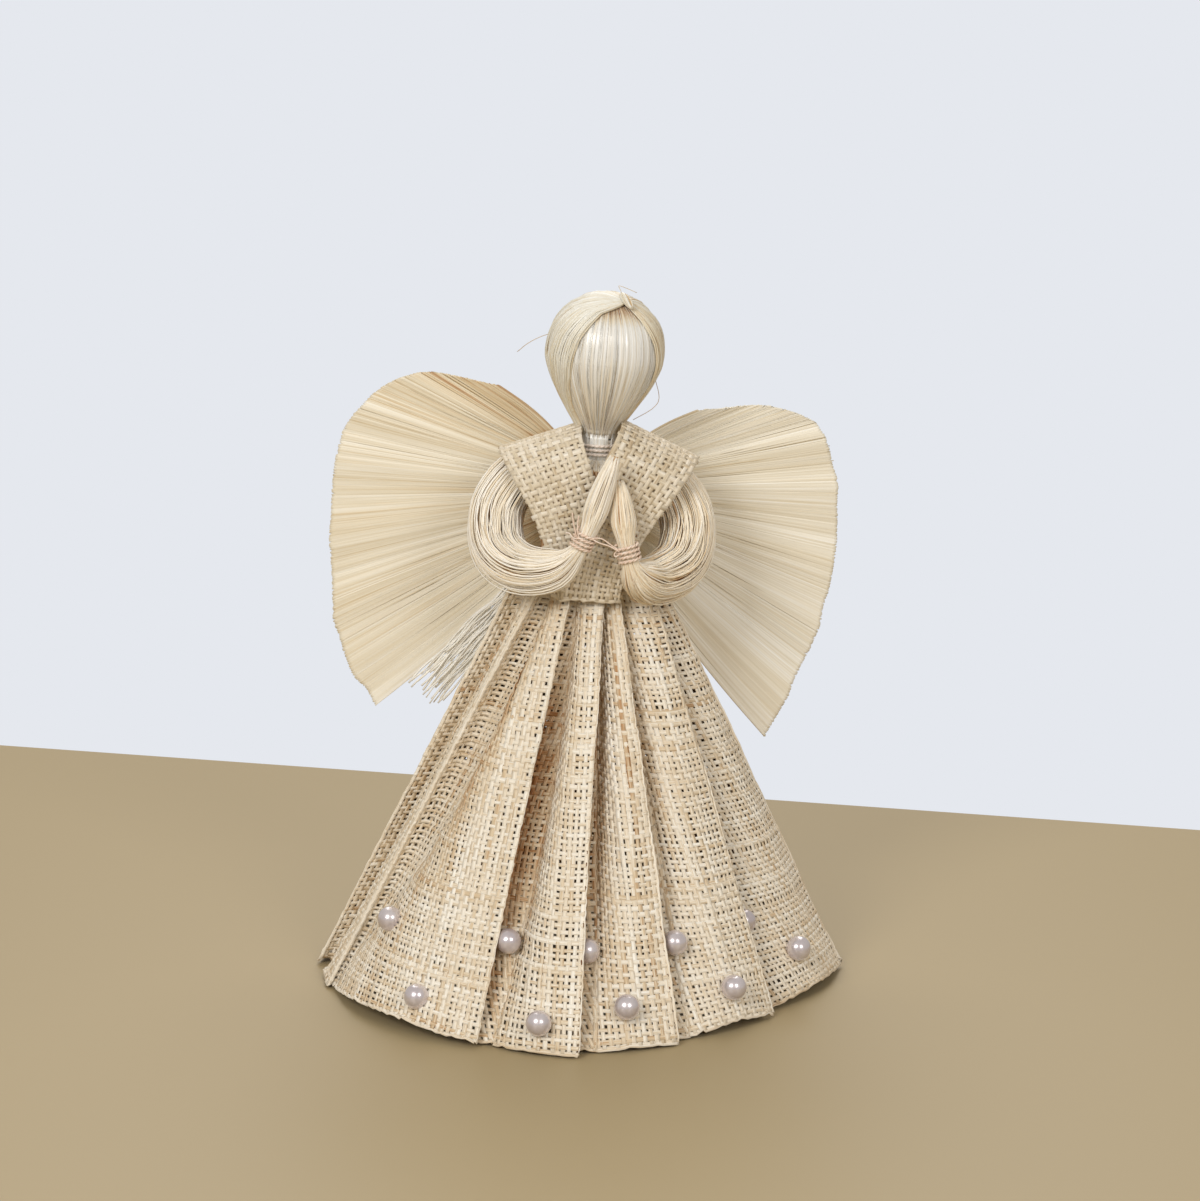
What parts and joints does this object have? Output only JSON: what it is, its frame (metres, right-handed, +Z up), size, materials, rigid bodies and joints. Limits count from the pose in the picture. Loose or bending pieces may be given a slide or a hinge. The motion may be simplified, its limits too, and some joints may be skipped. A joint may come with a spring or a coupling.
{
  "type": "raffia angel ornament",
  "caption": "Standing angel of woven raffia and combed fibre: pleated skirt with pearls, crossed bodice, praying hands, ball head and fanned wings; stands on its hem as a table decoration",
  "frame": {"origin": "middle of the angel's footprint, on the surface that the hem stands on", "axes": "+Z up from the hem to the head, -Y towards the front, +X towards the viewer's right"},
  "size_m": [0.0882, 0.0908, 0.1154],
  "materials": {
    "raffia_cloth": "open plain-woven raffia, cream with tan streaks, matt",
    "combed_fibre": "combed pale plant fibre, silky",
    "hair_fibre": "combed straw-coloured plant fibre, silky",
    "wing_fibre": "flat spread of pale plant fibre, satin",
    "tie_thread": "twisted pinkish-tan thread",
    "paper_ball": "pressed paper pulp, not seen",
    "pearl": "pearl lacquer, glossy"
  },
  "bodies": {
    "body": {"skirt": "raffia_cloth", "bodice_left": "raffia_cloth", "bodice_right": "raffia_cloth", "trunk": "combed_fibre", "arm_left": "combed_fibre", "arm_right": "combed_fibre", "wing_gather": "wing_fibre", "tail_fringe": "wing_fibre", "neck_tie": "tie_thread", "wrist_tie_left": "tie_thread", "wrist_tie_right": "tie_thread", "wing_tie": "tie_thread", "pearl_lower_02": "pearl", "pearl_upper_02": "pearl", "pearl_lower_03": "pearl", "pearl_upper_03": "pearl", "pearl_lower_04": "pearl", "pearl_upper_04": "pearl", "pearl_lower_05": "pearl", "pearl_upper_05": "pearl", "pearl_lower_06": "pearl", "pearl_upper_06": "pearl", "pearl_lower_08": "pearl", "pearl_upper_08": "pearl", "pearl_lower_09": "pearl", "pearl_upper_09": "pearl", "pearl_lower_10": "pearl", "pearl_upper_10": "pearl", "pearl_lower_11": "pearl", "pearl_upper_11": "pearl", "pearl_lower_12": "pearl", "pearl_upper_12": "pearl"},
    "head": {"head_core": "paper_ball", "head_wrap": "combed_fibre", "hair_left": "hair_fibre", "hair_right": "hair_fibre", "hair_knot": "hair_fibre"},
    "wing_left": {"wing_left": "wing_fibre"},
    "wing_right": {"wing_right": "wing_fibre"}
  },
  "joints": [
    {"name": "head_turn", "type": "hinge", "parent": "body", "child": "head", "pos_m": [0.00326, -0.00027, 0.09047], "axis": [0.0785, 0, 0.9969], "range_deg": [-20, 20], "stiffness_Nm_per_rad": 0.002},
    {"name": "wing_left_flex", "type": "hinge", "parent": "body", "child": "wing_left", "pos_m": [-0.0001, 0.01213, 0.07965], "axis": [-0.0785, 0, -0.9969], "range_deg": [-8, 25], "stiffness_Nm_per_rad": 0.003},
    {"name": "wing_right_flex", "type": "hinge", "parent": "body", "child": "wing_right", "pos_m": [0.00489, 0.01213, 0.07926], "axis": [0.0785, 0, 0.9969], "range_deg": [-8, 25], "stiffness_Nm_per_rad": 0.003}
  ]
}
